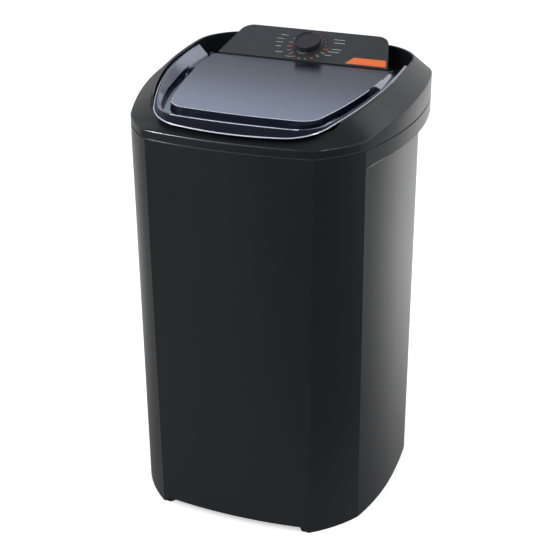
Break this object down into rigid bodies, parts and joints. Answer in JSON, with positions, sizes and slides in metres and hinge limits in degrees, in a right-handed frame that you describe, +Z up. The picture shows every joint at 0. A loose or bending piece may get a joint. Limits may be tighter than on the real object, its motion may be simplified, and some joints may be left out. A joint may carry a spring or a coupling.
{
  "type": "semi-automatic washing machine",
  "caption": "Tall top-loading washing machine with a smoked hinged lid, sloped control panel with a timer knob, grip band and belt-driven agitator tub.",
  "frame": {"origin": "on the floor under the middle of the machine's bounding box", "axes": "+Z up, front faces -Y, +X is the right-hand side seen from the front"},
  "size_m": [0.575, 0.576, 0.9606],
  "materials": {
    "cabinet_black": "semi-gloss charcoal",
    "frame_black": "semi-gloss charcoal",
    "lid_smoke": "glossy smoked dark blue",
    "panel_slate": "matte dark slate",
    "knob_black": "matte charcoal",
    "accent_orange": "printed orange",
    "tub_grey": "smooth light grey",
    "white_plastic": "smooth off-white",
    "dark_plastic": "matte dark grey",
    "cap_plastic": "smooth dark blue-grey",
    "zinc_steel": "zinc-plated",
    "black_steel": "blackened",
    "cast_alloy": "cast, matte",
    "bearing_bronze": "sintered bronze",
    "motor_enamel": "dark enamel",
    "black_rubber": "matte"
  },
  "bodies": {
    "machine": {"cabinet": "cabinet_black", "base_cover": "cabinet_black", "base_screws": "zinc_steel", "feet": "cabinet_black", "wash_tub": "tub_grey", "top_frame": "frame_black", "frame_screws": "zinc_steel", "hinge_brackets": "frame_black", "hinge_bracket_screws": "zinc_steel", "lid_hinge_pins": "black_steel", "panel_housing": "frame_black", "housing_screws": "zinc_steel", "control_panel": "panel_slate", "dial_marks": "accent_orange", "panel_tag": "accent_orange", "timer_case": "white_plastic", "bearing_housing": "cast_alloy", "bearing_bolts": "zinc_steel", "upper_bush": "bearing_bronze", "lower_bush": "bearing_bronze", "shaft_seal": "black_rubber", "drive_belt": "black_rubber", "motor": "motor_enamel", "motor_bracket": "zinc_steel", "motor_mounts": "black_rubber", "motor_screws": "zinc_steel", "capacitor": "white_plastic", "capacitor_clip": "zinc_steel", "wiring_loom": "black_rubber", "drain_grille": "white_plastic", "drain_elbow": "dark_plastic", "drain_hose": "dark_plastic", "hose_clamps": "zinc_steel", "drain_outlet": "dark_plastic", "outlet_nut": "dark_plastic", "cable_gland": "black_rubber"},
    "lid": {"lid": "lid_smoke", "lid_buffers": "black_rubber"},
    "timer": {"timer_shaft": "zinc_steel", "timer_knob": "knob_black"},
    "agitator_drive": {"agitator": "white_plastic", "agitator_screw": "zinc_steel", "agitator_cap": "cap_plastic", "drive_shaft": "zinc_steel", "drive_pulley": "cast_alloy", "pulley_nut": "zinc_steel"},
    "motor_rotor": {"motor_shaft": "zinc_steel", "motor_pulley": "cast_alloy", "motor_fan": "white_plastic"},
    "filter": {"lint_filter": "white_plastic"}
  },
  "joints": [
    {"name": "lid_hinge", "type": "hinge", "parent": "machine", "child": "lid", "pos_m": [0, 0.126, 0.9056], "axis": [-1, 0, 0], "range_deg": [0, 97]},
    {"name": "timer_turn", "type": "hinge", "parent": "machine", "child": "timer", "pos_m": [0, 0.17998, 0.9331], "axis": [0, -0.4019, 0.9157], "range_deg": [-315, 0]},
    {"name": "agitator_spin", "type": "hinge", "parent": "machine", "child": "agitator_drive", "pos_m": [0, -0.01, 0.34], "axis": [0, 0, 1], "continuous": true},
    {"name": "motor_spin", "type": "hinge", "parent": "machine", "child": "motor_rotor", "pos_m": [0, 0.16, 0.29], "axis": [0, 0, 1], "continuous": true},
    {"name": "filter_lift", "type": "slide", "parent": "machine", "child": "filter", "axis": [0, 0, 1], "range_m": [0, 0.08]}
  ],
  "couplings": [
    {"joint": "motor_spin", "follows": "agitator_spin", "ratio": 4.6123}
  ]
}
